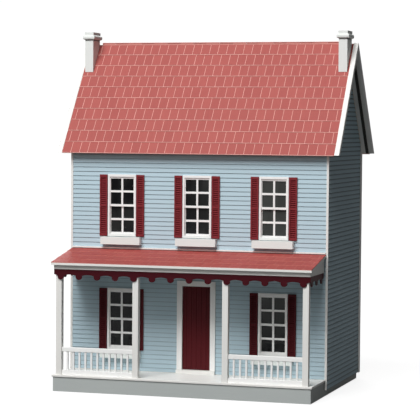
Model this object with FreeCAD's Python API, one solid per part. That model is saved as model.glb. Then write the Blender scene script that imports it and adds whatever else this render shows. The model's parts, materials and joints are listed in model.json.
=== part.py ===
import FreeCAD, Part
import math
import os

os.makedirs("parts", exist_ok=True)

# A two-storey wooden farmhouse dollhouse in the usual scale of one to twelve: clapboard walls,
# a gable roof with a hinged rear half, an open back and a covered porch along the front.
# X runs along the front, Y from the front to the back, Z up. The ground is Z = 0.

# House body
body_width = 572.0
body_depth = 314.0
wall = 9.5
eave_height = 503.0
eave_overhang = 18.0
roof_pitch = math.radians(53.9)

# Clapboards milled into the wall panels
lap_pitch = 9.525
lap_depth = 1.3
lowest_lap = 15.2
side_wall_bottom = 13.6
side_lap_over_floor = 5.0
corner_strip_width = 4.9
corner_strip_thickness = 2.6
corner_strip_proud = 0.6
rear_strip_width = 15.0
rear_strip_thickness = 1.5

# Base, floors and partitions
base_height = 30.5
base_board = 9.5
base_inset = 5.5
base_rear_setback = 5.0
floor_thickness = 4.8
upper_floor_thickness = 9.5
second_floor_top = 279.9
attic_floor_top = 500.0
partition_thickness = 6.4
lower_partition_place = 78.0
upper_partition_place = 78.0
partition_door_width = 64.0
partition_door_height = 176.0
partition_door_setback = 60.0

# Main roof
gable_overhang = 14.6
roof_panel = 9.5
shingle_butt = 2.4
shingle_head = 1.1
shingle_courses = 10
rake_width = 10.2
rake_depth = 9.4
rake_proud = 0.4
rear_roof_seat_gap = 0.3
mitre_gap = 0.6

# Piano hinge along the ridge, for the rear roof
hinge_end_margin = 28.0
hinge_knuckles = 18
hinge_barrel_radius = 1.0
hinge_barrel_clearance = 0.05
hinge_pin_radius = 0.45
hinge_pin_clearance = 0.04
hinge_leaf = 0.5
hinge_leaf_drop = 0.4
hinge_leaf_depth = 12.0
hinge_knuckle_gap = 0.2

# Chimneys on the front slope
chimney_width = 19.0
chimney_length = 42.5
chimney_rake_gap = 3.7
chimney_ridge_gap = 4.2
chimney_roof_gap = 0.1
chimney_above_ridge = 7.6
cap_overhang = 4.0
cap_moulding = 10.0
cap_round = 3.9
cap_block_overhang = 0.8
cap_block_height = 6.4

# Porch
porch_depth = 116.0
porch_floor_side = 2.5
porch_floor_nose = 2.0
porch_floor_gap = 0.2
post_size = 12.7
post_setback = 1.0
outer_post_clearance = 0.45
inner_post_place = 97.5
porch_roof_side_inset = 3.8
porch_roof_front = 125.7
porch_roof_rise = 23.6
porch_roof_top = 297.8
porch_roof_panel = 4.8
porch_shingle = 1.6
porch_shingle_head = 0.8
porch_shingle_courses = 4
fascia_end_setback = 4.2
fascia_setback = 7.5
fascia_thickness = 4.5
fascia_bottom = 258.9
end_panel_thickness = 4.5
flashing_height = 3.2
flashing_thickness = 3.0

# Scalloped trim under the porch fascia
trim_thickness = 2.2
trim_setback = 1.0
trim_drop = 21.9
trim_band = 11.0
drop_end_margin = 15.0
front_drops = 14
end_drops = 3
drop_width = 14.0
drop_tip = 4.5
arch_spring = 4.0

# Porch railings
handrail_top = 93.7
handrail_height = 9.4
handrail_width = 7.0
bottom_rail_height = 10.4
baluster_size = 4.0
baluster_pitch = 13.4
balusters_per_bay = 11

# Windows
window_width = 63.5
window_height = 133.0
side_window_place = 168.6
lower_window_bottom = 79.3
upper_window_bottom = 323.9
casing_proud = 2.2
casing_side = 4.2
casing_top = 5.2
casing_bottom = 5.6
jamb = 1.3
jamb_to_casing_edge = 0.95
wall_opening_clearance = 0.1
sash_thickness = 2.8
sash_side_clearance = 0.2
sash_track_clearance = 0.2
sash_end_clearance = 0.15
sash_stile = 3.45
muntin = 4.2
bottom_sash_rail = 3.6
horizontal_muntin = 4.4
meeting_rail = 4.8
top_rail = 3.7
glass_thickness = 1.0
glass_lap = 1.1
glass_clearance = 0.1
interior_casing = 2.0
interior_casing_lap = 3.0

# Shutters and window boxes
shutter_width = 17.3
shutter_end_setback = 0.5
shutter_gap = 1.2
shutter_thickness = 3.2
shutter_stile = 3.2
shutter_end_rail = 5.5
shutter_mid_rail = 5.0
shutter_mid_share = 0.50
louvre_pitch = 4.4
louvre_web = 1.0
louvre_recess = 0.4
box_width = 88.9
box_height = 16.0
box_depth = 14.0
box_wall = 2.0
box_gap = 1.0

# Front door
door_opening_width = 62.3
door_opening_top = 221.4
door_thickness = 6.0
door_rebate = 1.5
door_side_clearance = 0.4
door_end_clearance = 0.3
door_front = 2.2
door_casing = 11.65
door_head_casing = 11.1
door_casing_proud = 2.5
door_jamb = 2.5
sill_height = 7.6
sill_nose = 8.0
door_planks = 6
plank_groove_width = 1.0
plank_groove_depth = 0.6
door_pin_radius = 0.8
door_pin_length = 2.0
door_pin_clearance = 0.05

# Worked out from the sizes above
half_width = body_width / 2
inner_half = half_width - wall
front_half = half_width - corner_strip_width
floor_half = half_width - side_lap_over_floor
base_half = half_width - base_inset
floor_top = base_height + floor_thickness
ridge_y = body_depth / 2
tan_pitch = math.tan(roof_pitch)
cos_pitch = math.cos(roof_pitch)
sin_pitch = math.sin(roof_pitch)
ridge_height = eave_height + (ridge_y + eave_overhang) * tan_pitch
slope_length = (ridge_y + eave_overhang) / cos_pitch
roof_thickness = roof_panel + shingle_butt
roof_half = half_width + gable_overhang
hinge_axis_height = ridge_height + (hinge_barrel_radius + hinge_barrel_clearance) / cos_pitch

window_places = [
    (-side_window_place, lower_window_bottom),
    (side_window_place, lower_window_bottom),
    (-side_window_place, upper_window_bottom),
    (0.0, upper_window_bottom),
    (side_window_place, upper_window_bottom),
]


def vec(x, y, z):
    return FreeCAD.Vector(x, y, z)


def box(x0, x1, y0, y1, z0, z1):
    """A block between two opposite corners."""
    return Part.makeBox(x1 - x0, y1 - y0, z1 - z0, vec(x0, y0, z0))


def prism_x(outline, x0, x1):
    """Extrudes a closed (y, z) outline along X."""
    points = [vec(x0, y, z) for y, z in outline]
    face = Part.Face(Part.makePolygon(points + points[:1]))
    return face.extrude(vec(x1 - x0, 0, 0))


def prism_y(outline, y0, y1):
    """Extrudes a closed (x, z) outline along Y."""
    points = [vec(x, y0, z) for x, z in outline]
    face = Part.Face(Part.makePolygon(points + points[:1]))
    return face.extrude(vec(0, y1 - y0, 0))


def mirrored(shape):
    """The same piece on the other side of the house."""
    return shape.mirror(vec(0, 0, 0), vec(1, 0, 0))


def moved(shape, x, y, z):
    result = shape.copy()
    result.translate(vec(x, y, z))
    return result


def save(node, solids):
    """Writes one node, shifted so that the middle of the whole depth is at Y = 0."""
    compound = Part.makeCompound([moved(s, 0, centre_shift, 0) for s in solids])
    compound.exportStep("parts/" + node + ".step")
    print(node, len(solids), [len(s.Solids) for s in solids], all(s.isValid() for s in solids))


# The house stands centred on its whole depth, from the porch roof edge to the rear eave.
centre_shift = (porch_roof_front - body_depth - eave_overhang - rake_proud * sin_pitch) / 2


# --- base and floors ---------------------------------------------------------------------------

def make_base():
    rear = body_depth - base_rear_setback
    front_board = box(-base_half, base_half, -porch_depth, base_board - porch_depth, 0, base_height)
    side = box(base_half - base_board, base_half, base_board - porch_depth, rear, 0, base_height)
    back_half = base_half - base_board
    back_board = box(-back_half, back_half, rear - base_board, rear, 0, base_height)
    save("base_front_board", [front_board])
    save("base_side_boards", [mirrored(side), side])
    save("base_back_board", [back_board])


def make_floors():
    floor_front = -corner_strip_proud - porch_floor_gap
    porch_half = base_half + porch_floor_side
    porch_floor = box(-porch_half, porch_half, -porch_depth - porch_floor_nose, floor_front,
                      base_height, floor_top)
    first = box(-floor_half, floor_half, floor_front, body_depth, base_height, floor_top)
    second = box(-inner_half, inner_half, wall, body_depth,
                 second_floor_top - upper_floor_thickness, second_floor_top)
    attic = box(-inner_half, inner_half, wall, body_depth,
                attic_floor_top - upper_floor_thickness, attic_floor_top)
    save("porch_floor", [porch_floor])
    save("first_floor", [first])
    save("second_floor", [second])
    save("attic_floor", [attic])


def partition(place, bottom, top):
    """An inner wall with a doorway near the front."""
    x0 = place - partition_thickness / 2
    panel = box(x0, x0 + partition_thickness, wall, body_depth, bottom, top)
    door_y = wall + partition_door_setback
    doorway = box(x0 - 1, x0 + partition_thickness + 1, door_y, door_y + partition_door_width,
                  bottom - 1, bottom + partition_door_height)
    return panel.cut(doorway)


def make_partitions():
    lower_top = second_floor_top - upper_floor_thickness
    upper_top = attic_floor_top - upper_floor_thickness
    save("lower_partition", [partition(lower_partition_place, floor_top, lower_top)])
    save("upper_partition", [partition(upper_partition_place, second_floor_top, upper_top)])


# --- clapboard walls ---------------------------------------------------------------------------

def lap_outline(bottom, top):
    """(depth, z) points up the face of the siding; each board is proud at its lower edge."""
    points = []
    z = lowest_lap - lap_pitch
    while z < top:
        low = max(z, bottom)
        high = min(z + lap_pitch, top)
        if high > bottom:
            points.append((lap_depth * (low - z) / lap_pitch, low))
            points.append((lap_depth * (high - z) / lap_pitch, high))
        z += lap_pitch
    return points


def roof_under(y):
    """Height of the underside of the roof panels at a distance y from the front wall's face."""
    from_eave = min(y, body_depth - y) + eave_overhang
    return eave_height + from_eave * tan_pitch - roof_thickness / cos_pitch


def window_opening(place, bottom):
    edge = jamb_to_casing_edge - wall_opening_clearance
    return box(place - window_width / 2 + edge, place + window_width / 2 - edge, -1, wall + 1,
               bottom + edge, bottom + window_height - edge)


def make_front_wall():
    face = lap_outline(floor_top, roof_under(0))
    outline = face + [(wall, roof_under(wall)), (wall, floor_top)]
    panel = prism_x(outline, -front_half, front_half)
    door_half = door_opening_width / 2 + door_rebate + door_side_clearance + door_jamb
    door_half += wall_opening_clearance
    door_top = door_opening_top + door_rebate + door_side_clearance + door_jamb
    door_top += wall_opening_clearance
    openings = [window_opening(place, bottom) for place, bottom in window_places]
    openings.append(box(-door_half, door_half, -1, wall + 1, floor_top - 1, door_top))
    save("front_wall", [panel.cut(Part.makeCompound(openings))])


def make_side_walls():
    top = roof_under(ridge_y)
    face = [(half_width - depth, z) for depth, z in lap_outline(side_wall_bottom, top)]
    outline = face + [(inner_half, top), (inner_half, floor_top), (floor_half, floor_top),
                      (floor_half, side_wall_bottom)]
    front = corner_strip_thickness - corner_strip_proud
    panel = prism_y(outline, front, body_depth)
    seat = rear_roof_seat_gap / cos_pitch
    gable = prism_x([(front, side_wall_bottom - 1), (front, roof_under(front)),
                     (ridge_y, top), (ridge_y, top - seat),
                     (body_depth, roof_under(body_depth) - seat),
                     (body_depth, side_wall_bottom - 1)], inner_half - 1, half_width + 1)
    panel = panel.common(gable)
    rabbet = box(inner_half - 1, front_half, front - 1, wall, side_wall_bottom - 1, top)
    panel = panel.cut(rabbet)
    save("right_wall", [panel])
    save("left_wall", [mirrored(panel)])


def make_wall_strips():
    back = corner_strip_thickness - corner_strip_proud
    corner = prism_x([(-corner_strip_proud, side_wall_bottom),
                      (-corner_strip_proud, roof_under(-corner_strip_proud)),
                      (back, roof_under(back)), (back, side_wall_bottom)], front_half, half_width)
    seat = rear_roof_seat_gap / cos_pitch
    front_edge = body_depth - rear_strip_width
    rear = prism_x([(front_edge, side_wall_bottom), (front_edge, roof_under(front_edge) - seat),
                    (body_depth, roof_under(body_depth) - seat), (body_depth, side_wall_bottom)],
                   half_width, half_width + rear_strip_thickness)
    save("front_corner_strips", [mirrored(corner), corner])
    save("rear_edge_strips", [mirrored(rear), rear])


# --- main roof ---------------------------------------------------------------------------------

def slope_point(side, along, out):
    """(y, z) at a distance down the slope and out from its face; side is -1 front, 1 rear."""
    y = ridge_y + side * (along * cos_pitch + out * sin_pitch)
    return (y, ridge_height - along * sin_pitch + out * cos_pitch)


def mitre_point(side, out):
    """Where a layer of the roof meets the upright cut beside the ridge line."""
    return slope_point(side, (mitre_gap - out * sin_pitch) / cos_pitch, out)


def eave_point(side, out):
    """Where a layer of the roof meets the level cut along the eave."""
    along = slope_length + (out - rake_proud) * cos_pitch / sin_pitch
    return slope_point(side, along, out)


def slope_layer(side, inner, outer, x0, x1):
    """A flat layer of one roof slope, cut upright at the ridge and level at the eave."""
    outline = [mitre_point(side, inner), mitre_point(side, outer),
               eave_point(side, outer), eave_point(side, inner)]
    return prism_x(outline, x0, x1)


def shingle_layer(side):
    """The stepped skin of shingle courses on one slope."""
    exposure = slope_length / shingle_courses
    under = -shingle_butt
    outline = [mitre_point(side, under), mitre_point(side, under + shingle_head)]
    for course in range(shingle_courses):
        if course > 0:
            outline.append(slope_point(side, course * exposure, under + shingle_head))
        outline.append(slope_point(side, (course + 1) * exposure, 0))
    outline.append(slope_point(side, slope_length, under))
    return prism_x(outline, -roof_half, roof_half)


def make_roof():
    for side, name in ((-1, "front"), (1, "rear")):
        panel = slope_layer(side, -roof_thickness, -shingle_butt, -roof_half, roof_half)
        rake = slope_layer(side, rake_proud - rake_depth, rake_proud, roof_half,
                           roof_half + rake_width)
        save(name + "_roof_panel", [panel])
        save(name + "_shingles", [shingle_layer(side)])
        save(name + "_rake_strips", [mirrored(rake), rake])


def ridge_rod(radius, x0, x1):
    """A round rod on the hinge axis along the ridge."""
    return Part.makeCylinder(radius, x1 - x0, vec(x0, ridge_y, hinge_axis_height), vec(1, 0, 0))


def hinge_leaf_solid(side, spans):
    """A flat leaf in the ridge gap, joined to its own knuckles by short upright tongues."""
    y0, y1 = sorted((ridge_y + side * (mitre_gap - hinge_leaf), ridge_y + side * mitre_gap))
    top = ridge_height - mitre_gap * tan_pitch - hinge_leaf_drop
    half = roof_half - hinge_end_margin
    leaf = box(-half, half, y0, y1, top - hinge_leaf_depth, top)
    for start, end in spans:
        tongue = box(start, end, y0, y1, top - 1, hinge_axis_height)
        leaf = leaf.fuse([tongue, ridge_rod(hinge_barrel_radius, start, end)])
    bore = ridge_rod(hinge_pin_radius + hinge_pin_clearance, -half - 1, half + 1)
    return leaf.cut(bore).removeSplitter()


def make_ridge_hinge():
    half = roof_half - hinge_end_margin
    length = 2 * half / hinge_knuckles
    gap = hinge_knuckle_gap / 2
    spans = []
    for i in range(hinge_knuckles):
        start = -half + i * length
        spans.append((start + gap, start + length - gap))
    save("ridge_hinge_fixed_leaf", [hinge_leaf_solid(-1, spans[0::2])])
    save("ridge_hinge_moving_leaf", [hinge_leaf_solid(1, spans[1::2])])
    save("ridge_hinge_pin", [ridge_rod(hinge_pin_radius, -half, half)])


# --- chimneys ----------------------------------------------------------------------------------

def make_chimneys():
    x1 = roof_half - chimney_rake_gap
    x0 = x1 - chimney_width
    y1 = ridge_y - chimney_ridge_gap
    y0 = y1 - chimney_length
    top = ridge_height + chimney_above_ridge
    along_front = (ridge_y - y0) / cos_pitch
    along_back = (ridge_y - y1) / cos_pitch
    lift = chimney_roof_gap / cos_pitch
    foot_front = ridge_height - along_front * sin_pitch + lift
    foot_back = ridge_height - along_back * sin_pitch + lift
    stack = prism_x([(y0, foot_front), (y1, foot_back), (y1, top), (y0, top)], x0, x1)
    moulding = box(x0 - cap_overhang, x1 + cap_overhang, y0 - cap_overhang, y1 + cap_overhang,
                   top, top + cap_moulding)
    level = [e for e in moulding.Edges if abs(e.tangentAt(e.FirstParameter).z) < 0.5]
    moulding = moulding.makeFillet(cap_round, level)
    o = cap_block_overhang
    block = box(x0 - o, x1 + o, y0 - o, y1 + o, top + cap_moulding,
                top + cap_moulding + cap_block_height)
    cap = moulding.fuse(block).removeSplitter()
    save("left_chimney", [mirrored(stack)])
    save("right_chimney", [stack])
    save("left_chimney_cap", [mirrored(cap)])
    save("right_chimney_cap", [cap])


# --- porch -------------------------------------------------------------------------------------

porch_slope = porch_roof_rise / porch_roof_front
porch_back = -corner_strip_proud - porch_floor_gap
porch_roof_half = half_width - porch_roof_side_inset
fascia_half = porch_roof_half - fascia_end_setback
post_front = post_setback - porch_depth
post_middle = post_front + post_size / 2
end_trim_inner = fascia_half - trim_setback - trim_thickness
outer_post_place = end_trim_inner - outer_post_clearance - post_size / 2
drop_pitch = 2 * (fascia_half - drop_end_margin) / (front_drops - 1)


def porch_under(y):
    """Height of the underside of the porch roof panel."""
    return porch_roof_top + y * porch_slope - porch_shingle - porch_roof_panel


def make_porch_roof():
    front = -porch_roof_front
    half = porch_roof_half
    panel_back = porch_under(porch_back)
    panel_front = porch_under(front)
    panel = prism_x([(front, panel_front), (porch_back, panel_back),
                     (porch_back, panel_back + porch_roof_panel),
                     (front, panel_front + porch_roof_panel)], -half, half)
    exposure = (porch_roof_front + porch_back) / porch_shingle_courses
    outline = [(porch_back, porch_under(porch_back) + porch_roof_panel)]
    for course in range(porch_shingle_courses):
        upper = porch_back - course * exposure
        lower = upper - exposure
        base = porch_roof_panel
        outline.append((upper, porch_under(upper) + base + porch_shingle_head))
        outline.append((lower, porch_under(lower) + base + porch_shingle))
    outline.append((front, panel_front + porch_roof_panel))
    shingles = prism_x(outline, -half, half)
    flash_foot = porch_roof_top + porch_back * porch_slope
    flashing = box(-front_half, front_half, porch_back - flashing_thickness, 0,
                   flash_foot, flash_foot + flashing_height)
    save("porch_roof_panel", [panel])
    save("porch_shingles", [shingles])
    save("porch_flashing", [flashing])


def make_porch_frame():
    fascia_front = fascia_setback - porch_roof_front
    fascia_back = fascia_front + fascia_thickness
    fascia = prism_x([(fascia_front, fascia_bottom), (fascia_back, fascia_bottom),
                      (fascia_back, porch_under(fascia_back)),
                      (fascia_front, porch_under(fascia_front))],
                     -fascia_half, fascia_half)
    panel_inner = fascia_half - end_panel_thickness
    end_panel = prism_x([(fascia_back, fascia_bottom), (porch_back, fascia_bottom),
                         (porch_back, porch_under(porch_back)),
                         (fascia_back, porch_under(fascia_back))],
                        panel_inner, fascia_half)
    beam_back = post_front + post_size
    beam = prism_x([(fascia_back, fascia_bottom), (beam_back, fascia_bottom),
                    (beam_back, porch_under(beam_back)), (fascia_back, porch_under(fascia_back))],
                   -panel_inner, panel_inner)
    save("porch_fascia", [fascia])
    save("porch_end_panels", [mirrored(end_panel), end_panel])
    save("porch_beam", [beam])
    posts = []
    for place in (-outer_post_place, -inner_post_place, inner_post_place, outer_post_place):
        posts.append(box(place - post_size / 2, place + post_size / 2, post_front,
                         post_front + post_size, floor_top, fascia_bottom))
    save("porch_posts", posts)


def scalloped_board(length, drops):
    """A trim board in the XZ plane, its top at Z = 0, with round drops between arches."""
    half = length / 2
    w = drop_width / 2
    tip = -trim_drop
    spring = tip + arch_spring + drop_tip
    shoulder = tip + drop_tip
    crown = -trim_band
    places = [(i - (drops - 1) / 2) * drop_pitch for i in range(drops)]
    edges = []
    here = vec(-half, 0, crown)
    edges.append(Part.LineSegment(vec(-half, 0, 0), here).toShape())
    for i, x in enumerate(places):
        start = vec(x - w, 0, spring)
        if i == 0:
            edges.append(Part.LineSegment(here, start).toShape())
        else:
            middle = vec(x - drop_pitch / 2, 0, crown)
            edges.append(Part.Arc(here, middle, start).toShape())
        low_left = vec(x - w, 0, shoulder)
        low_right = vec(x + w, 0, shoulder)
        here = vec(x + w, 0, spring)
        edges.append(Part.LineSegment(start, low_left).toShape())
        edges.append(Part.Arc(low_left, vec(x, 0, tip), low_right).toShape())
        edges.append(Part.LineSegment(low_right, here).toShape())
    corner = vec(half, 0, crown)
    edges.append(Part.LineSegment(here, corner).toShape())
    edges.append(Part.LineSegment(corner, vec(half, 0, 0)).toShape())
    edges.append(Part.LineSegment(vec(half, 0, 0), vec(-half, 0, 0)).toShape())
    face = Part.Face(Part.Wire(edges))
    return face.extrude(vec(0, trim_thickness, 0))


def make_scalloped_trim():
    trim_front = fascia_setback - porch_roof_front + trim_setback
    front = moved(scalloped_board(2 * fascia_half, front_drops), 0, trim_front, fascia_bottom)
    end_start = trim_front + trim_thickness
    end_length = porch_back - end_start
    board = scalloped_board(end_length, end_drops)
    board.rotate(vec(0, 0, 0), vec(0, 0, 1), 90)
    outer = fascia_half - trim_setback
    end = moved(board, outer, (end_start + porch_back) / 2, fascia_bottom)
    save("scalloped_trim_front", [front])
    save("scalloped_trim_ends", [mirrored(end), end])


def make_railings():
    start = inner_post_place + post_size / 2
    end = outer_post_place - post_size / 2
    y0 = post_middle - handrail_width / 2
    rail_under = handrail_top - handrail_height
    handrail = box(start, end, y0, y0 + handrail_width, rail_under, handrail_top)
    rail_top = floor_top + bottom_rail_height
    bottom_rail = box(start, end, y0, y0 + handrail_width, floor_top, rail_top)
    middle = (start + end) / 2
    b = baluster_size / 2
    balusters = []
    for i in range(balusters_per_bay):
        x = middle + (i - (balusters_per_bay - 1) / 2) * baluster_pitch
        balusters.append(box(x - b, x + b, post_middle - b, post_middle + b, rail_top, rail_under))
    save("handrails", [mirrored(handrail), handrail])
    save("bottom_rails", [mirrored(bottom_rail), bottom_rail])
    save("balusters", [mirrored(b) for b in balusters] + balusters)


# --- windows -----------------------------------------------------------------------------------

jamb_outer_x = window_width / 2 - jamb_to_casing_edge
track_x = jamb_outer_x - jamb
track_low = jamb_to_casing_edge + jamb
track_high = window_height - jamb_to_casing_edge - jamb
sash_half = track_x - sash_side_clearance
pane_width = sash_half - sash_stile - muntin / 2
pane_height = (window_height - casing_bottom - bottom_sash_rail - 2 * horizontal_muntin
               - meeting_rail - top_rail - casing_top) / 4
face_x = window_width / 2 - casing_side
lower_sash_top = (casing_bottom + bottom_sash_rail + 2 * pane_height + horizontal_muntin
                  + meeting_rail)
lower_sash_front = sash_thickness + sash_track_clearance
stop_front = lower_sash_front + sash_thickness + sash_track_clearance


def window_ring(half, low, high, inner_half_width, inner_low, inner_high, y0, y1):
    """A square ring; heights are measured from the lower edge of the casing."""
    ring = box(-half, half, y0, y1, low, high)
    return ring.cut(box(-inner_half_width, inner_half_width, y0 - 1, y1 + 1, inner_low, inner_high))


def window_frame():
    casing = window_ring(window_width / 2, 0, window_height, face_x, casing_bottom,
                         window_height - casing_top, -casing_proud, 0)
    lining = window_ring(jamb_outer_x, jamb_to_casing_edge, window_height - jamb_to_casing_edge,
                         track_x, track_low, track_high, 0, wall)
    return casing.fuse(lining).removeSplitter()


def interior_trim():
    stop = window_ring(track_x, track_low, track_high, face_x, casing_bottom,
                       window_height - casing_top, stop_front, wall)
    casing = window_ring(window_width / 2 + interior_casing_lap, -interior_casing_lap,
                         window_height + interior_casing_lap, face_x, casing_bottom,
                         window_height - casing_top, wall, wall + interior_casing)
    return stop.fuse(casing).removeSplitter()


def sash(bottom, top, first_pane, y0):
    """A sash with two by two panes, rebated from behind for its glass."""
    frame = box(-sash_half, sash_half, y0, y0 + sash_thickness, bottom, top)
    cutters = []
    for column in (-1, 1):
        for row in (0, 1):
            low = first_pane + row * (pane_height + horizontal_muntin)
            x0, x1 = sorted((column * muntin / 2, column * (muntin / 2 + pane_width)))
            cutters.append(box(x0, x1, y0 - 1, y0 + sash_thickness + 1, low, low + pane_height))
    glass_half = muntin / 2 + pane_width + glass_lap
    glass_low = first_pane - glass_lap
    glass_high = first_pane + 2 * pane_height + horizontal_muntin + glass_lap
    rear = y0 + sash_thickness
    depth = glass_thickness + glass_clearance
    cutters.append(box(-glass_half, glass_half, rear - depth, rear + 1, glass_low, glass_high))
    frame = frame.cut(Part.makeCompound(cutters[:4]).fuse(cutters[4]))
    c = glass_clearance
    glass = box(-glass_half + c, glass_half - c, rear - depth, rear - depth + glass_thickness,
                glass_low + c, glass_high - c)
    return frame, glass


def make_windows():
    lower, lower_glass = sash(track_low + sash_end_clearance, lower_sash_top,
                              casing_bottom + bottom_sash_rail, lower_sash_front)
    upper, upper_glass = sash(lower_sash_top - meeting_rail, track_high, lower_sash_top, 0)
    frame = window_frame()
    trim = interior_trim()
    frames = [moved(frame, x, 0, z) for x, z in window_places]
    save("lower_window_frames", frames[:2])
    save("upper_window_frames", frames[2:])
    save("interior_window_trim", [moved(trim, x, 0, z) for x, z in window_places])
    save("upper_sashes", [moved(upper, x, 0, z) for x, z in window_places])
    save("upper_panes", [moved(upper_glass, x, 0, z) for x, z in window_places])
    for number, (x, z) in enumerate(window_places, 1):
        save("lower_sash_%d" % number, [moved(lower, x, 0, z)])
        save("lower_pane_%d" % number, [moved(lower_glass, x, 0, z)])


shutter_height = window_height - 2 * shutter_end_setback


def shutter():
    """A shutter in the XZ plane, centred on X = 0, its back at Y = 0 and its foot at Z = 0."""
    w = shutter_width / 2
    frame = box(-w, w, -shutter_thickness, 0, 0, shutter_height)
    mid = shutter_height * shutter_mid_share
    fields = [(shutter_end_rail, mid - shutter_mid_rail / 2),
              (mid + shutter_mid_rail / 2, shutter_height - shutter_end_rail)]
    inner = w - shutter_stile
    for low, high in fields:
        frame = frame.cut(box(-inner, inner, -shutter_thickness - 1, 1, low, high))
        count = round((high - low) / louvre_pitch)
        pitch = (high - low) / count
        outline = [(0, low)]
        for i in range(count):
            outline.append((louvre_recess - shutter_thickness, low + i * pitch))
            outline.append((-louvre_web, low + (i + 1) * pitch))
        outline.append((0, high))
        frame = frame.fuse(prism_x(outline, -inner, inner))
    return frame.removeSplitter()


def make_shutters():
    blank = shutter()
    offset = window_width / 2 + shutter_gap + shutter_width / 2
    solids = []
    for x, z in window_places:
        for side in (-1, 1):
            solids.append(moved(blank, x + side * offset, 0, z + shutter_end_setback))
    save("shutters", solids)


def make_window_boxes():
    half = box_width / 2
    tray = box(-half, half, -box_depth, 0, 0, box_height)
    hollow = box(box_wall - half, half - box_wall, box_wall - box_depth, -box_wall,
                 box_wall, box_height + 1)
    tray = tray.cut(hollow)
    solids = [moved(tray, x, 0, z - box_gap - box_height) for x, z in window_places]
    save("window_boxes", solids)


# --- front door --------------------------------------------------------------------------------

door_half = door_opening_width / 2 + door_rebate
door_bottom = floor_top + sill_height
door_top = door_opening_top + door_rebate
door_jamb_x = door_half + door_side_clearance
door_jamb_top = door_top + door_side_clearance
door_axis_x = door_thickness / 2 - door_half
door_axis_y = door_front + door_thickness / 2


def door_pin(z0, z1, radius):
    return Part.makeCylinder(radius, z1 - z0, vec(door_axis_x, door_axis_y, z0), vec(0, 0, 1))


def make_door():
    low = door_bottom + door_end_clearance
    slab = box(door_axis_x, door_half, door_front, door_front + door_thickness, low, door_top)
    edge = Part.makeCylinder(door_thickness / 2, door_top - low,
                             vec(door_axis_x, door_axis_y, low), vec(0, 0, 1))
    slab = slab.fuse(edge).removeSplitter()
    g = plank_groove_width / 2
    for i in range(1, door_planks):
        x = -door_half + i * 2 * door_half / door_planks
        groove = [vec(x - g, door_front, low - 1), vec(x + g, door_front, low - 1),
                  vec(x, door_front + plank_groove_depth, low - 1)]
        face = Part.Face(Part.makePolygon(groove + groove[:1]))
        slab = slab.cut(face.extrude(vec(0, 0, door_top - low + 2)))
    lower_pin = door_pin(low - door_pin_length, low + 1, door_pin_radius)
    upper_pin = door_pin(door_top - 1, door_top + door_pin_length, door_pin_radius)
    slab = slab.cut(lower_pin).cut(upper_pin)
    save("door_slab", [slab])
    save("door_pins", [lower_pin, upper_pin])


def make_door_frame():
    half = door_opening_width / 2
    outer = half + door_casing
    casing = box(-outer, outer, -door_casing_proud, 0, door_bottom,
                 door_opening_top + door_head_casing)
    casing = casing.cut(box(-half, half, -door_casing_proud - 1, 1, door_bottom - 1,
                            door_opening_top))
    jamb_outer = door_jamb_x + door_jamb
    jamb_outer_top = door_jamb_top + door_jamb
    stop_back = door_front - sash_track_clearance
    stop = box(-jamb_outer, jamb_outer, 0, stop_back, door_bottom, jamb_outer_top)
    stop = stop.cut(box(-half, half, -1, stop_back + 1, door_bottom - 1, door_opening_top))
    lining = box(-jamb_outer, jamb_outer, stop_back, wall, door_bottom, jamb_outer_top)
    lining = lining.cut(box(-door_jamb_x, door_jamb_x, stop_back - 1, wall + 1, door_bottom - 1,
                            door_jamb_top))
    frame = casing.fuse(stop).fuse(lining).removeSplitter()
    bore = door_pin_radius + door_pin_clearance
    frame = frame.cut(door_pin(door_jamb_top - 1, door_top + door_pin_length + door_pin_clearance,
                               bore))
    sill = box(-outer, outer, -sill_nose, 0, floor_top, door_bottom)
    sill = sill.fuse(box(-jamb_outer, jamb_outer, 0, wall, floor_top, door_bottom))
    pin_end = door_bottom + door_end_clearance - door_pin_length - door_pin_clearance
    sill = sill.removeSplitter().cut(door_pin(pin_end, door_bottom + 1, bore))
    save("door_frame", [frame])
    save("door_sill", [sill])


make_base()
make_floors()
make_partitions()
make_front_wall()
make_side_walls()
make_wall_strips()
make_roof()
make_ridge_hinge()
make_chimneys()
make_porch_roof()
make_porch_frame()
make_scalloped_trim()
make_railings()
make_windows()
make_shutters()
make_window_boxes()
make_door()
make_door_frame()
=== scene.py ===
import json
import math
import random

import bmesh
import bpy
from mathutils import Matrix, Vector


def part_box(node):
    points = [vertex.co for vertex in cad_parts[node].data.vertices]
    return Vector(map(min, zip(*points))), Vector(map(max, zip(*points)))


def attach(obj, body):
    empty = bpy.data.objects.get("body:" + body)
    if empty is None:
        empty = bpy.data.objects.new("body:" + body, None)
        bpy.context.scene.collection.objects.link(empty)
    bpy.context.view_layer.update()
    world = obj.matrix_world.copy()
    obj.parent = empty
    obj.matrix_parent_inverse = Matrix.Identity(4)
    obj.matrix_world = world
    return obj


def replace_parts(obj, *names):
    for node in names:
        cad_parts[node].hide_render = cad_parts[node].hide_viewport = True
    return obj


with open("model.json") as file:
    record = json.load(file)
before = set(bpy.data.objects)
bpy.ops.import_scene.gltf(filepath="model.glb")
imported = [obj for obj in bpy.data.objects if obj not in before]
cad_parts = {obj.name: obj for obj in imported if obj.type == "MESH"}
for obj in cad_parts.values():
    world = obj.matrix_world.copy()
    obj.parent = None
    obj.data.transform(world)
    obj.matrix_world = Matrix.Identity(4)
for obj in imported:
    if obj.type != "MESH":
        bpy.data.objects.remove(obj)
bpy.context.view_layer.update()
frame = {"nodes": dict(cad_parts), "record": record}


# --- base ----------------------------------------------------------------------------------------
# A low box of four boards on edge carries the house and its porch. The boards are glued at their
# corners, sanded and brushed with grey satin paint.

MM = 0.001
paint_blotches = 14.0
brush_along = 4.0
brush_across = 420.0
paint_tooth = 900.0
tooth_share = 0.35
paint_depth = 0.12 * MM
merge_distance = 1e-6
flat_angle = math.radians(1.0)
sharp_angle = math.radians(35)


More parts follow.
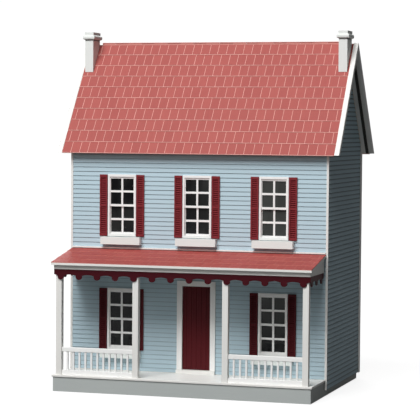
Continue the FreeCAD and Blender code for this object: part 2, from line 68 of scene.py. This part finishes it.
class Line:
    """A socket in a tree of nodes. Sums and comparisons on it add Math nodes."""

    def __init__(self, tree, socket):
        self.tree = tree
        self.socket = socket

    def maths(self, operation, *values):
        return self.tree.node("ShaderNodeMath", {"operation": operation},
                              dict(enumerate(values)))

    def __add__(self, other):
        return self.maths("ADD", self, other)

    def __radd__(self, other):
        return self.maths("ADD", other, self)

    def __sub__(self, other):
        return self.maths("SUBTRACT", self, other)

    def __rsub__(self, other):
        return self.maths("SUBTRACT", other, self)

    def __mul__(self, other):
        return self.maths("MULTIPLY", self, other)

    def __rmul__(self, other):
        return self.maths("MULTIPLY", other, self)

    def __gt__(self, other):
        return self.maths("GREATER_THAN", self, other)

    def __lt__(self, other):
        return self.maths("LESS_THAN", self, other)

    def __abs__(self):
        return self.maths("ABSOLUTE", self)

    def fraction(self):
        """What the value has above the whole number below it."""
        return self.maths("FRACT", self)


class NodeTree:
    """The nodes of a material or of the world, all added by one method."""

    def __init__(self, owner):
        owner.use_nodes = True
        self.links = owner.node_tree.links
        self.nodes = owner.node_tree.nodes
        self.nodes.clear()

    def node(self, kind, settings, inputs, output=0):
        made = self.nodes.new(kind)
        for setting, value in settings.items():
            setattr(made, setting, value)
        for key, value in inputs.items():
            if isinstance(value, Line):
                self.links.new(value.socket, made.inputs[key])
            else:
                made.inputs[key].default_value = value
        return Line(self, made.outputs[output]) if made.outputs else made

    def blend(self, amount, first, second):
        """A colour between two colours."""
        return self.node("ShaderNodeMix", {"data_type": "RGBA"}, {0: amount, 6: first, 7: second},
                         2)

    def between(self, value, start, end, low=0.0):
        """A ramp from low to 1 as the value goes from start to end."""
        return self.node("ShaderNodeMapRange", {}, {"Value": value, "From Min": start,
                                                    "From Max": end, "To Min": low})


class Finish(NodeTree):
    """A paint, dye or bare face; what is the same all over it is given with its name."""

    def __init__(self, name, **constants):
        self.material = bpy.data.materials.new(name)
        super().__init__(self.material)
        same_all_over = {socket.replace("_", " "): value for socket, value in constants.items()}
        self.shader = self.node("ShaderNodeBsdfPrincipled", {}, same_all_over)
        self.node("ShaderNodeOutputMaterial", {}, {"Surface": self.shader})
        self.place = self.node("ShaderNodeTexCoord", {}, {}, "Object")

    def along(self, axis):
        """The place on one axis, in metres."""
        return self.node("ShaderNodeSeparateXYZ", {}, {"Vector": self.place}, axis)

    def noise(self, lumps, detail, roughness=0.5):
        """Noise from 0 to 1; lumps is how many there are in a metre along X, Y and Z."""
        stretched = self.node("ShaderNodeMapping", {}, {"Vector": self.place, "Scale": lumps})
        return self.node("ShaderNodeTexNoise", {}, {"Vector": stretched, "Scale": 1.0,
                                                    "Detail": detail, "Roughness": roughness})

    def feed(self, socket, line):
        self.links.new(line.socket, self.shader.socket.node.inputs[socket])

    def relief(self, height, depth, strength=0.5):
        self.feed("Normal", self.node("ShaderNodeBump", {}, {"Height": height, "Distance": depth,
                                                             "Strength": strength}))


def shade(colour, factor):
    """A colour darkened or lightened by a factor, with full alpha."""
    return tuple(min(1.0, c * factor) for c in colour[:3]) + (1.0,)


def streaks(grain, along, across):
    """Lumps in a metre for streaks that run along the axis named by grain."""
    return tuple(along if axis == grain else across for axis in "xyz")


def brush_marks(finish, grain):
    """Fine streaks that the brush left along the axis named by grain."""
    return finish.noise(streaks(grain, brush_along, brush_across), 4.0, 0.6)


def painted(name, colour, grain, roughness=0.42, uneven=0.06, gloss=0.3):
    """Brushed satin paint: soft blotches, brush streaks along the grain and a fine tooth."""
    finish = Finish(name, Specular_IOR_Level=gloss)
    blotch = finish.noise((paint_blotches,) * 3, 2.0)
    streak = brush_marks(finish, grain)
    tooth = finish.noise((paint_tooth,) * 3, 2.0)
    amount = 0.55 * blotch + 0.45 * streak
    finish.feed("Base Color",
                finish.blend(amount, shade(colour, 1 - uneven), shade(colour, 1 + uneven)))
    finish.feed("Roughness", roughness - 0.06 + 0.12 * streak)
    finish.relief(streak + tooth_share * tooth, paint_depth)
    return finish.material


body_of = {node: body for body, nodes in frame["record"]["behaviour"]["bodies"].items()
           for node in nodes}


def piece_from(bm, name, material, body):
    """Turns a bmesh into a piece that rides on a body."""
    mesh = bpy.data.meshes.new(name)
    bm.to_mesh(mesh)
    bm.free()
    piece = bpy.data.objects.new(name, mesh)
    bpy.context.scene.collection.objects.link(piece)
    mesh.materials.append(material)
    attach(piece, body)
    return piece


def eased(node, material, ease=0.35 * MM, segments=2):
    """A copy of a CAD node whose sharp edges are sanded round, in place of the node."""
    bm = bmesh.new()
    bm.from_mesh(frame["nodes"][node].data)
    bmesh.ops.remove_doubles(bm, verts=bm.verts, dist=merge_distance)
    bmesh.ops.dissolve_limit(bm, angle_limit=flat_angle, verts=bm.verts, edges=bm.edges)
    piece = piece_from(bm, node + "_eased", material, body_of[node])
    rounding = piece.modifiers.new("sanded edges", "BEVEL")
    rounding.width = ease
    rounding.segments = segments
    rounding.limit_method = "ANGLE"
    rounding.angle_limit = sharp_angle
    rounding.use_clamp_overlap = True
    rounding.harden_normals = True
    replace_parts(piece, node)


base_colour = (0.46, 0.49, 0.48)
base_lengthways = painted("base_grey_paint", base_colour, "x", roughness=0.5)
base_depthways = painted("base_grey_paint_side", base_colour, "y", roughness=0.5)
eased("base_front_board", base_lengthways)
eased("base_side_boards", base_depthways)
eased("base_back_board", base_lengthways)


# --- floors and inner walls ----------------------------------------------------------------------
# Plywood sheets are glued between the side walls and left bare. The porch floor is a sheet of
# its own, painted white, with its edges rounded.

ply_figure_along = 1.6
ply_figure_across = 30.0
pores_along = 18.0
pores_across = 700.0
rings_in_figure = 9.0
pore_depth = 0.15 * MM
porch_floor_ease = 0.9 * MM


def bare_wood(name, pale, dark, grain):
    """Unpainted plywood: long straight figure, fine pores and a dull face."""
    finish = Finish(name, Specular_IOR_Level=0.25)
    figure = finish.noise(streaks(grain, ply_figure_along, ply_figure_across), 5.0, 0.6)
    pores = finish.noise(streaks(grain, pores_along, pores_across), 2.0)
    rings = (figure * rings_in_figure).fraction()
    amount = 0.45 * rings + 0.35 * figure + 0.2 * pores
    finish.feed("Base Color", finish.blend(amount, pale, dark))
    finish.feed("Roughness", 0.55 + 0.2 * pores)
    finish.relief(pores, pore_depth)
    return finish.material


floor_wood = bare_wood("bare_floor_plywood", (0.72, 0.53, 0.33, 1), (0.55, 0.36, 0.19, 1), "x")
inner_wood = bare_wood("bare_partition_plywood", (0.75, 0.58, 0.38, 1), (0.6, 0.42, 0.24, 1), "z")
trim_white = (0.83, 0.82, 0.79)
white_along = painted("white_trim_paint_lengthways", trim_white, "x")
white_deep = painted("white_trim_paint_depthways", trim_white, "y")
white_up = painted("white_trim_paint_upright", trim_white, "z")
for node in ("first_floor", "second_floor", "attic_floor"):
    eased(node, floor_wood)
for node in ("lower_partition", "upper_partition"):
    eased(node, inner_wood)
eased("porch_floor", white_along, porch_floor_ease, segments=3)


# --- clapboard walls -----------------------------------------------------------------------------
# Each wall is one panel with clapboards milled into its outer face. The clapboards are painted
# light blue, painted shade darkens the grooves under them, and the back of each panel is bare.
# White strips cover the front corners and the rear edges.

siding_blue = (0.475, 0.61, 0.675)
lap_pitch = 9.525 * MM
lowest_lap = 15.2 * MM
front_wall_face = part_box("front_wall")[0].y
side_wall_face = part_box("right_wall")[1].x
front_clapboard_depth = 4 * MM
bare_side_depth = 3 * MM
side_inner_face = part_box("right_wall")[0].x + bare_side_depth
siding_gloss = 0.07
siding_blotches = 9.0
siding_depth = 0.1 * MM
# Where on each board the painted shade in its groove starts and ends, and how dark it gets.
groove_end = 0.93
groove_shade = 0.25
figure_along = 5.0
figure_across = 160.0
strip_ease = 0.3 * MM


def wood_figure(finish, grain):
    """The long figure of bare plywood along the axis named by grain."""
    return finish.noise(streaks(grain, figure_along, figure_across), 4.0, 0.6)


def siding(name, inner_side, grain, groove_painted_shade, groove_start):
    """Blue paint outside and bare wood inside; inner_side gives 1 on the bare side."""
    finish = Finish(name, Specular_IOR_Level=siding_gloss)
    inside = inner_side(finish)
    blotch = finish.noise((siding_blotches,) * 3, 2.0)
    streak = brush_marks(finish, grain)
    amount = 0.6 * blotch + 0.4 * streak
    paint = finish.blend(amount, shade(siding_blue, 0.95), shade(siding_blue, 1.05))
    # Painted shade: each board darkens towards the groove under the next board's butt.
    up_the_board = ((finish.along("Z") - lowest_lap) * (1 / lap_pitch)).fraction()
    groove = finish.between(up_the_board, groove_start, groove_end)
    paint = finish.blend(groove * groove_painted_shade, paint, shade(siding_blue, groove_shade))
    figure = wood_figure(finish, grain)
    wood = finish.blend(figure, (0.74, 0.58, 0.4, 1), (0.58, 0.42, 0.26, 1))
    finish.feed("Base Color", finish.blend(inside, paint, wood))
    finish.feed("Roughness", 0.42 + 0.14 * streak + 0.15 * inside)
    finish.relief(streak, siding_depth)
    return finish.material


def behind_front_wall(finish):
    return finish.along("Y") > front_wall_face + front_clapboard_depth


def between_side_walls(finish):
    return abs(finish.along("X")) < side_inner_face


def dress(node, material):
    """Gives a CAD node its finish."""
    slots = frame["nodes"][node].data.materials
    slots.clear()
    slots.append(material)


dress("front_wall", siding("front_clapboards", behind_front_wall, "x",
                           groove_painted_shade=0.5, groove_start=0.8))
side_siding = siding("side_clapboards", between_side_walls, "y",
                     groove_painted_shade=0.95, groove_start=0.62)
dress("left_wall", side_siding)
dress("right_wall", side_siding)
eased("front_corner_strips", white_up, strip_ease)
eased("rear_edge_strips", white_up, strip_ease)


# --- main roof -----------------------------------------------------------------------------------
# Two plywood slopes carry courses of thin red-dyed wooden shingles, glued on one by one. The cut
# edges took less dye, so a fine pink line shows round each one. White strips trim the rakes.

roof_pitch = math.radians(53.9)
courses = 10
shingle_width = 19.2 * MM
shingle_fall = 1.3 * MM
plate_thickness = 0.7 * MM
pale_depth = 0.45 * MM
joint = 1.15 * MM
butt_margin = 1.05 * MM
skin = 2.4 * MM
# How far out from the gable wall the painted shade under the rake strips begins.
rake_shadow = 8.5 * MM
sheet_depth = 0.1 * MM
shingle_grain = (600.0, 40.0, 40.0)
shingle_blotches = 24.0
shingle_depth = 0.25 * MM
edge_flecks = 300.0
narrowest_shingle = 2 * MM
cut_wander_mm = 0.7
butt_wander_mm = 0.35
plate_bevel = 0.12 * MM
facing_down = -0.5
ridge_gap = 0.8 * MM
rake_ease = 0.4 * MM


def roof_sheet():
    """Bare plywood inside the house, trim white on the overhangs, near-black painted shade under
    the rakes.
    """
    finish = Finish("roof_sheet_plywood", Specular_IOR_Level=0.3)
    from_middle = abs(finish.along("X"))
    overhang = from_middle > side_wall_face
    painted_rake_shade = from_middle > side_wall_face + rake_shadow
    figure = wood_figure(finish, "x")
    wood = finish.blend(figure, (0.70, 0.54, 0.36, 1), (0.54, 0.38, 0.22, 1))
    paint = finish.blend(figure, shade(trim_white, 0.95), shade(trim_white, 1.03))
    # Painted shade: the outer band of the overhang, under the rake strips, is near black.
    outside = finish.blend(painted_rake_shade, paint, (0.03, 0.028, 0.025, 1))
    finish.feed("Base Color", finish.blend(overhang, wood, outside))
    finish.feed("Roughness", 0.5 + 0.15 * figure)
    finish.relief(figure, sheet_depth, strength=0.4)
    return finish.material


sheet_wood = roof_sheet()
for node in ("front_roof_panel", "rear_roof_panel"):
    eased(node, sheet_wood)


def shingle_red(name, deep, pale):
    """Red dye on wood: each shingle has its own tone, with grain up the slope."""
    finish = Finish(name, Specular_IOR_Level=0.3)
    tone = finish.node("ShaderNodeAttribute", {"attribute_name": "tone"}, {}, "Fac")
    grain = finish.noise(shingle_grain, 4.0, 0.6)
    blotch = finish.noise((shingle_blotches,) * 3, 2.0)
    amount = 0.25 * tone + 0.55 * grain + 0.2 * blotch
    finish.feed("Base Color", finish.blend(amount, deep, pale))
    finish.feed("Roughness", 0.55 + 0.2 * grain)
    finish.relief(grain, shingle_depth, strength=0.6)
    return finish.material


def shingle_edge(name, dark, pale):
    """The cut edges under the shingles' faces."""
    finish = Finish(name, Specular_IOR_Level=0.2, Roughness=0.7)
    fleck = finish.noise((edge_flecks,) * 3, 3.0)
    finish.feed("Base Color", finish.blend(fleck, dark, pale))
    return finish.material


red_shingle = shingle_red("red_dyed_shingles", (0.33, 0.070, 0.063, 1), (0.46, 0.114, 0.098, 1))
pale_edge = shingle_edge("pale_shingle_edges", (0.70, 0.32, 0.28, 1), (0.84, 0.47, 0.42, 1))


def shingle_bed(width, reach, count, fall, thickness):
    """A stepped sheet that the shingle faces are sunk into; it lies just under Z = 0."""
    exposure = reach / count
    bm = bmesh.new()
    profile = [(0.0, -thickness), (0.0, -pale_depth)]
    for i in range(count):
        profile.append(((i + 1) * exposure, -fall - pale_depth))
        if i < count - 1:
            profile.append(((i + 1) * exposure, -pale_depth))
    profile.append((reach, -thickness))
    corners = [bm.verts.new((-width / 2, y, z)) for y, z in profile]
    face = bm.faces.new(corners)
    sides = bmesh.ops.extrude_face_region(bm, geom=[face])
    moved = [v for v in sides["geom"] if isinstance(v, bmesh.types.BMVert)]
    bmesh.ops.translate(bm, verts=moved, vec=(width, 0, 0))
    bmesh.ops.recalc_face_normals(bm, faces=bm.faces)
    return bm


def shingle_faces(width, reach, count, fall, seed):
    """Rows of separate thin plates in running bond, each tilted as its course is."""
    chance = random.Random(seed)
    exposure = reach / count
    tilt = math.atan(fall / exposure)
    per_row = round(width / shingle_width)
    step = width / per_row
    bm = bmesh.new()
    tone = bm.verts.layers.float.new("tone")
    for row in range(count):
        start = -width / 2 - (step / 2 if row % 2 else 0)
        cuts = [start + i * step + chance.uniform(-cut_wander_mm, cut_wander_mm) * MM
                for i in range(per_row + 2)]
        for left, right in zip(cuts, cuts[1:]):
            x0 = max(left + joint / 2, -width / 2)
            x1 = min(right - joint / 2, width / 2)
            if x1 - x0 < narrowest_shingle:
                continue
            y0 = row * exposure + butt_margin + chance.uniform(0, butt_wander_mm) * MM
            y1 = (row + 1) * exposure
            made = bmesh.ops.create_cube(bm, size=1.0)["verts"]
            size = Matrix.Diagonal((x1 - x0, y1 - y0, plate_thickness, 1))
            centre = Matrix.Translation(((x0 + x1) / 2, (y1 - y0) / 2, -plate_thickness / 2))
            lay = Matrix.Translation((0, y0, -(y0 - row * exposure) * math.tan(tilt)))
            turn = Matrix.Rotation(-tilt, 4, "X")
            bmesh.ops.transform(bm, matrix=lay @ turn @ centre @ size, verts=made)
            value = chance.random()
            for v in made:
                v[tone] = value
    top = [e for e in bm.edges if all(f.normal.z > facing_down for f in e.link_faces)]
    bmesh.ops.bevel(bm, geom=top, offset=plate_bevel, affect="EDGES", segments=1, profile=0.5,
                    material=-1)
    return bm


def lay_shingles(name, node, body, turn, reach, count, fall, thickness, width, face, edge, seed):
    """Puts a bed and its shingle faces on a slope in place of the CAD skin."""
    bed = shingle_bed(width, reach, count, fall, thickness)
    bmesh.ops.transform(bed, matrix=turn, verts=bed.verts)
    plates = shingle_faces(width, reach, count, fall, seed)
    bmesh.ops.transform(plates, matrix=turn, verts=plates.verts)
    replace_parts(piece_from(bed, name + "_bed", edge, body), node)
    piece_from(plates, name + "_faces", face, body)


front_low, front_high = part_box("front_shingles")
rear_low, rear_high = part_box("rear_shingles")
ridge_y = (front_high.y + rear_low.y) / 2
eave_z = front_low.z + skin * math.cos(roof_pitch)
reach = (ridge_y - front_low.y - ridge_gap) / math.cos(roof_pitch)
roof_width = front_high.x - front_low.x
tip_up = Matrix.Rotation(roof_pitch, 4, "X")
front_turn = Matrix.Translation((0, front_low.y, eave_z)) @ tip_up
rear_turn = (Matrix.Translation((0, rear_high.y, eave_z)) @ Matrix.Rotation(math.pi, 4, "Z")
             @ tip_up)
lay_shingles("front_roof", "front_shingles", "house", front_turn, reach, courses, shingle_fall,
             skin, roof_width, red_shingle, pale_edge, seed=11)
lay_shingles("rear_roof", "rear_shingles", "rear_roof", rear_turn, reach, courses, shingle_fall,
             skin, roof_width, red_shingle, pale_edge, seed=12)
eased("front_rake_strips", white_deep, rake_ease)
eased("rear_rake_strips", white_deep, rake_ease)


# --- ridge hinge and door pins -------------------------------------------------------------------
# A brass piano hinge lets the rear slope lift. Its leaves stand on edge between the two mitred
# slopes, and the roof's red was brushed over it, so the knuckles along the ridge are red too. The
# short brass pins that the door turns on were left plain.

tarnish_spots = 120.0


def brass():
    finish = Finish("dull_brass", Metallic=1.0)
    tarnish = finish.noise((tarnish_spots,) * 3, 4.0, 0.6)
    finish.feed("Base Color", finish.blend(tarnish, (0.42, 0.24, 0.1, 1), (0.62, 0.42, 0.2, 1)))
    finish.feed("Roughness", 0.32 + 0.2 * tarnish)
    return finish.material


dyed_hinge = painted("red_brushed_hinge", (0.58, 0.22, 0.19), "x", roughness=0.6, uneven=0.1)
for node in ("ridge_hinge_fixed_leaf", "ridge_hinge_moving_leaf", "ridge_hinge_pin"):
    dress(node, dyed_hinge)
dress("door_pins", brass())


# --- chimneys ------------------------------------------------------------------------------------
# A square stack with a moulded cap is glued on at each end of the front slope. Both are wood
# painted white, with a dark line of painted shade where the stack runs up under its cap.

stack_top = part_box("left_chimney")[1].z
line_start = 2.6 * MM
line_full = 1.4 * MM
line_end = 0.6 * MM
stack_ease = 0.4 * MM


def chimney_paint():
    finish = Finish("white_chimney_paint", Specular_IOR_Level=0.35)
    streak = brush_marks(finish, "z")
    height = finish.along("Z")
    # Painted shade: a dark band on the stack just below its cap.
    line = finish.between(height, stack_top - line_start, stack_top - line_full)
    painted_shade_below_cap = line * (height < stack_top + line_end)
    white = finish.blend(streak, (0.76, 0.78, 0.755, 1), (0.81, 0.83, 0.805, 1))
    finish.feed("Base Color", finish.blend(painted_shade_below_cap, white, (0.16, 0.165, 0.16, 1)))
    finish.feed("Roughness", 0.42 + 0.14 * streak)
    finish.relief(streak, siding_depth)
    return finish.material


chimney_white = chimney_paint()
for side in ("left", "right"):
    eased(side + "_chimney", chimney_white, stack_ease)
    dress(side + "_chimney_cap", chimney_white)


# --- porch ---------------------------------------------------------------------------------------
# Four square posts carry a beam and a lean-to roof. The roof's front edge, fascia and closed
# ends are white, its shingles are a deeper red than those of the main roof, and a scalloped trim
# sawn from thin maroon board hangs under the fascia.

trim_ease = 0.25 * MM

for node, paint, ease in (("porch_roof_panel", white_along, 0.4),
                          ("porch_fascia", white_along, 0.4),
                          ("porch_end_panels", white_deep, 0.3),
                          ("porch_beam", white_along, 0.3),
                          ("porch_posts", white_up, 0.5),
                          ("porch_flashing", white_along, 0.4)):
    eased(node, paint, ease * MM)

porch_low, porch_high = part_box("porch_shingles")
porch_panel_low, porch_panel_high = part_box("porch_roof_panel")
porch_panel_thickness = 4.8 * MM
porch_courses = 4
porch_fall = 0.8 * MM
porch_skin = 1.6 * MM
porch_rise = porch_panel_high.z - porch_panel_low.z - porch_panel_thickness
porch_pitch = math.atan(porch_rise / (porch_panel_high.y - porch_panel_low.y))
porch_reach = (porch_high.y - porch_low.y) / math.cos(porch_pitch)
porch_turn = (Matrix.Translation((0, porch_low.y, porch_low.z + porch_skin))
              @ Matrix.Rotation(porch_pitch, 4, "X"))
porch_red = shingle_red("deep_red_dyed_shingles", (0.29, 0.045, 0.040, 1), (0.45, 0.098, 0.085, 1))
porch_edge = shingle_edge("dyed_shingle_edges", (0.50, 0.16, 0.135, 1), (0.66, 0.28, 0.24, 1))
lay_shingles("porch_roof", "porch_shingles", "house", porch_turn, porch_reach, porch_courses,
             porch_fall, porch_skin, porch_high.x - porch_low.x, porch_red, porch_edge, seed=13)

maroon_trim = painted("maroon_trim_paint", (0.055, 0.004, 0.008), "x",
                      roughness=0.5, uneven=0.12, gloss=0.12)
eased("scalloped_trim_front", maroon_trim, trim_ease)
eased("scalloped_trim_ends", maroon_trim, trim_ease)


# --- porch railings ------------------------------------------------------------------------------
# Each railing is a moulded handrail and a flat bottom rail with slim square balusters between,
# glued between two posts and painted white.

railing_white = (0.93, 0.93, 0.915)
rail_paint = painted("white_rail_paint", railing_white, "x")
baluster_paint = painted("white_baluster_paint", railing_white, "z")
eased("handrails", rail_paint, ease=0.9 * MM, segments=3)
eased("bottom_rails", rail_paint, ease=0.5 * MM)
eased("balusters", baluster_paint, ease=0.3 * MM)


# --- windows -------------------------------------------------------------------------------------
# Double-hung windows with two by two lights in each sash. Casings and sashes are wood painted
# white, and the lights of each sash are one smoked acrylic sheet.

lower_foot, lower_head = (corner.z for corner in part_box("lower_window_frames"))
window_height = lower_head - lower_foot
window_white = (0.93, 0.925, 0.91)
clear_light = (0.002, 0.002, 0.003, 1)
sheen_and_haze_light = (0.05, 0.053, 0.05, 1)
sheen_starts = -0.04
sheen_full = 0.17
haze_lumps = (26.0, 26.0, 14.0)
casing_ease = 0.3 * MM
sash_ease = 0.2 * MM
window_paint = painted("white_window_paint", window_white, "z")


def smoked_sheet():
    """Dark sheet with faint clouds and a painted sheen to the right, least near the porch floor.
    """
    finish = Finish("smoked_acrylic_lights", Specular_IOR_Level=0.35)
    # Painted sheen: the sheet lightens towards the right and up each lower window.
    to_the_right = finish.between(finish.along("X"), sheen_starts, sheen_full)
    up_the_window = finish.between(finish.along("Z"), lower_foot + 0.1 * window_height, lower_head)
    haze = finish.noise(haze_lumps, 2.0)
    cloud = finish.between(haze, 0.42, 0.66)
    amount = 0.85 * to_the_right * up_the_window + 0.28 * cloud
    finish.feed("Base Color", finish.blend(amount, clear_light, sheen_and_haze_light))
    finish.feed("Roughness", 0.06 + 0.05 * haze)
    return finish.material


smoked = smoked_sheet()
for node in ("lower_window_frames", "upper_window_frames", "interior_window_trim"):
    eased(node, window_paint, casing_ease)
eased("upper_sashes", window_paint, sash_ease)
dress("upper_panes", smoked)
for number in range(1, 6):
    eased("lower_sash_%d" % number, window_paint, sash_ease)
    dress("lower_pane_%d" % number, smoked)


# --- shutters ------------------------------------------------------------------------------------
# Louvred shutters are pinned beside each window: two stiles, three rails and two fields of slats
# on a thin back. The upper ones are dark red, and those under the porch a deeper maroon, which is
# painted shade.

stile_width = 3.2 * MM
end_rail = 5.5 * MM
mid_rail = 5.0 * MM
slat_pitch = 4.4 * MM
slat_thickness = 0.9 * MM
slat_lean = math.radians(38)
slat_setback = 0.35 * MM
slat_share = 0.62
shutter_back = 0.6 * MM
framing_bevel = 0.25 * MM


def add_block(bm, low, high, turn=None):
    """A sawn block between two corners, turned about its middle where a turn is given."""
    made = bmesh.ops.create_cube(bm, size=1.0)["verts"]
    size = Matrix.Diagonal((*(high - low), 1))
    place = Matrix.Translation((low + high) / 2)
    bmesh.ops.transform(bm, matrix=place @ (turn or Matrix.Identity(4)) @ size, verts=made)
    return made


def shutter_boxes():
    """The lowest and highest corner of each shutter, read from the loose parts of the node."""
    bm = bmesh.new()
    bm.from_mesh(frame["nodes"]["shutters"].data)
    bmesh.ops.remove_doubles(bm, verts=bm.verts, dist=merge_distance)
    waiting = set(bm.verts)
    boxes = []
    while waiting:
        to_visit = [waiting.pop()]
        patch = []
        while to_visit:
            v = to_visit.pop()
            patch.append(v.co.copy())
            for e in v.link_edges:
                other = e.other_vert(v)
                if other in waiting:
                    waiting.remove(other)
                    to_visit.append(other)
        boxes.append([Vector(map(pick, zip(*patch))) for pick in (min, max)])
    bm.free()
    return sorted(boxes, key=lambda pair: (round(pair[0].z, 3), pair[0].x))


def add_shutter(bm, low, high):
    """Stiles and three rails round two fields of leaning slats, on a thin back."""
    front, back = low.y, high.y
    inner_low, inner_high = low.x + stile_width, high.x - stile_width
    middle = (low.z + high.z) / 2
    framing = []
    for x0, x1 in ((low.x, inner_low), (inner_high, high.x)):
        framing += add_block(bm, Vector((x0, front, low.z)), Vector((x1, back, high.z)))
    for z0, z1 in ((low.z, low.z + end_rail), (middle - mid_rail / 2, middle + mid_rail / 2),
                   (high.z - end_rail, high.z)):
        framing += add_block(bm, Vector((inner_low, front, z0)), Vector((inner_high, back, z1)))
    edges = list({e for v in framing for e in v.link_edges})
    bmesh.ops.bevel(bm, geom=edges, offset=framing_bevel, affect="EDGES", segments=1,
                    profile=0.5, material=-1)
    add_block(bm, Vector((inner_low, back - shutter_back, low.z + end_rail)),
              Vector((inner_high, back, high.z - end_rail)))
    slat_front = front + slat_setback
    slat_depth = (back - front) * slat_share / math.cos(slat_lean)
    for z0, z1 in ((low.z + end_rail, middle - mid_rail / 2),
                   (middle + mid_rail / 2, high.z - end_rail)):
        count = round((z1 - z0) / slat_pitch)
        pitch = (z1 - z0) / count
        for i in range(count):
            z = z0 + (i + 0.5) * pitch
            add_block(bm, Vector((inner_low, slat_front, z - slat_thickness / 2)),
                      Vector((inner_high, slat_front + slat_depth, z + slat_thickness / 2)),
                      Matrix.Rotation(slat_lean, 4, "X"))


upper_shutters, lower_shutters = bmesh.new(), bmesh.new()
for low, high in shutter_boxes():
    upstairs = low.z > lower_foot + window_height
    add_shutter(upper_shutters if upstairs else lower_shutters, low, high)
upper_red = painted("dark_red_shutter_paint", (0.22, 0.028, 0.034), "z",
                    roughness=0.5, uneven=0.12, gloss=0.12)
# Painted shade: the shutters under the porch take a darker copy of the shutter red.
lower_painted_shade_red = painted("maroon_shutter_painted_shade", (0.085, 0.010, 0.014), "z",
                    roughness=0.5, uneven=0.12, gloss=0.12)
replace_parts(piece_from(upper_shutters, "upper_louvred_shutters", upper_red, "house"), "shutters")
piece_from(lower_shutters, "lower_louvred_shutters", lower_painted_shade_red, "house")


# --- window boxes --------------------------------------------------------------------------------
# An open planter box of thin white boards hangs under each window, glued to the wall.

box_white = painted("white_box_paint", (0.80, 0.845, 0.82), "x")
eased("window_boxes", box_white, ease=0.3 * MM)


# --- front door ----------------------------------------------------------------------------------
# A plank door painted dark red turns on its pins in a white frame, above a low white sill.

door_red = painted("dark_red_door_paint", (0.082, 0.007, 0.010), "z",
                   roughness=0.45, uneven=0.2, gloss=0.15)
eased("door_slab", door_red, ease=0.2 * MM, segments=1)
eased("door_frame", window_paint, ease=0.3 * MM)
eased("door_sill", white_along, ease=0.6 * MM)


# --- studio --------------------------------------------------------------------------------------
# A pale floor and a white backdrop. Glossy faces see a dimmer part of both, so that dark paint
# keeps its depth, and the floor takes the soft shadow of the house.

gloss_share = 0.16
floor_half_side = 12.0
floor_shade = (0.13, 0.13, 0.13, 1)
floor_white = (0.9, 0.9, 0.9, 1)
floor_glow = 1.08
shadow_near = 0.6
shadow_far = 1.6
glow_near_house = 0.8
ambient_colour = (0.93, 0.97, 1.0, 1)
ambient_strength = 0.055
backdrop_strength = 1.03
white = (1, 1, 1, 1)


def seen_white(tree):
    """1 where the floor and backdrop show as white, and a part of it for reflections."""
    camera_ray, transmission_ray, glossy_ray = (
        tree.node("ShaderNodeLightPath", {}, {}, ray)
        for ray in ("Is Camera Ray", "Is Transmission Ray", "Is Glossy Ray"))
    return camera_ray + transmission_ray + gloss_share * glossy_ray


def studio_floor():
    """A white sweep that still takes the soft shadow of the house."""
    material = bpy.data.materials.new("studio_floor")
    tree = NodeTree(material)
    seen = seen_white(tree)
    tone = tree.blend(seen, floor_shade, floor_white)
    dull = tree.node("ShaderNodeBsdfDiffuse", {}, {"Color": tone})
    glow = tree.node("ShaderNodeEmission", {}, {"Color": white, "Strength": floor_glow})
    place = tree.node("ShaderNodeTexCoord", {}, {}, "Object")
    away = tree.node("ShaderNodeVectorMath", {"operation": "LENGTH"}, {0: place}, "Value")
    share = tree.between(away, shadow_near, shadow_far, glow_near_house)
    mixed = tree.node("ShaderNodeMixShader", {}, {0: seen * share, 1: dull, 2: glow})
    tree.node("ShaderNodeOutputMaterial", {}, {"Surface": mixed})
    return material


floor_bm = bmesh.new()
bmesh.ops.create_grid(floor_bm, x_segments=1, y_segments=1, size=floor_half_side)
floor_mesh = bpy.data.meshes.new("studio_floor")
floor_bm.to_mesh(floor_mesh)
floor_bm.free()
floor = bpy.data.objects.new("studio_floor", floor_mesh)
bpy.context.scene.collection.objects.link(floor)
floor_mesh.materials.append(studio_floor())

world = bpy.data.worlds.new("studio")
bpy.context.scene.world = world
sky = NodeTree(world)
ambient = sky.node("ShaderNodeBackground", {}, {"Color": ambient_colour,
                                                "Strength": ambient_strength})
backdrop = sky.node("ShaderNodeBackground", {}, {"Color": white, "Strength": backdrop_strength})
chosen = sky.node("ShaderNodeMixShader", {}, {0: seen_white(sky), 1: ambient, 2: backdrop})
sky.node("ShaderNodeOutputWorld", {}, {"Surface": chosen})


# --- lamps and camera ----------------------------------------------------------------------------
# One large soft box hangs high in front, a weaker one fills from the left, and a third lights
# the open back.

house_middle = Vector((0, 0, 0.38))


def soft_lamp(name, azimuth, elevation, distance, size, power):
    """A square soft box aimed at the house; azimuth 0 is straight in front, minus is left."""
    light = bpy.data.lights.new(name, "AREA")
    light.shape = "SQUARE"
    light.size = size
    light.energy = power
    lamp = bpy.data.objects.new(name, light)
    bpy.context.scene.collection.objects.link(lamp)
    a = math.radians(azimuth)
    e = math.radians(elevation)
    away = Vector((math.sin(a) * math.cos(e), -math.cos(a) * math.cos(e), math.sin(e)))
    lamp.location = house_middle + away * distance
    lamp.rotation_euler = away.to_track_quat("Z", "Y").to_euler()


soft_lamp("key_soft_box", azimuth=-8, elevation=51, distance=6.0, size=3.2, power=395)
soft_lamp("front_fill", azimuth=-17, elevation=24, distance=6.0, size=3.0, power=52)
soft_lamp("rear_soft_box", azimuth=-165, elevation=35, distance=4.5, size=2.0, power=130)

camera_place = (1.1831, -3.8835, 0.5630)
camera_turn = 0.2964
camera_dip = 0.0451
camera_roll = 0.0079
camera_data = bpy.data.cameras.new("camera")
camera_data.sensor_width = 36.0
camera_data.lens = 160.3
camera_data.clip_end = 100
camera = bpy.data.objects.new("camera", camera_data)
bpy.context.scene.collection.objects.link(camera)
camera.matrix_world = (Matrix.Translation(camera_place)
                       @ Matrix.Rotation(camera_turn, 4, "Z")
                       @ Matrix.Rotation(math.pi / 2 - camera_dip, 4, "X")
                       @ Matrix.Rotation(camera_roll, 4, "Z"))
bpy.context.scene.camera = camera

bpy.context.scene.view_settings.view_transform = "Standard"
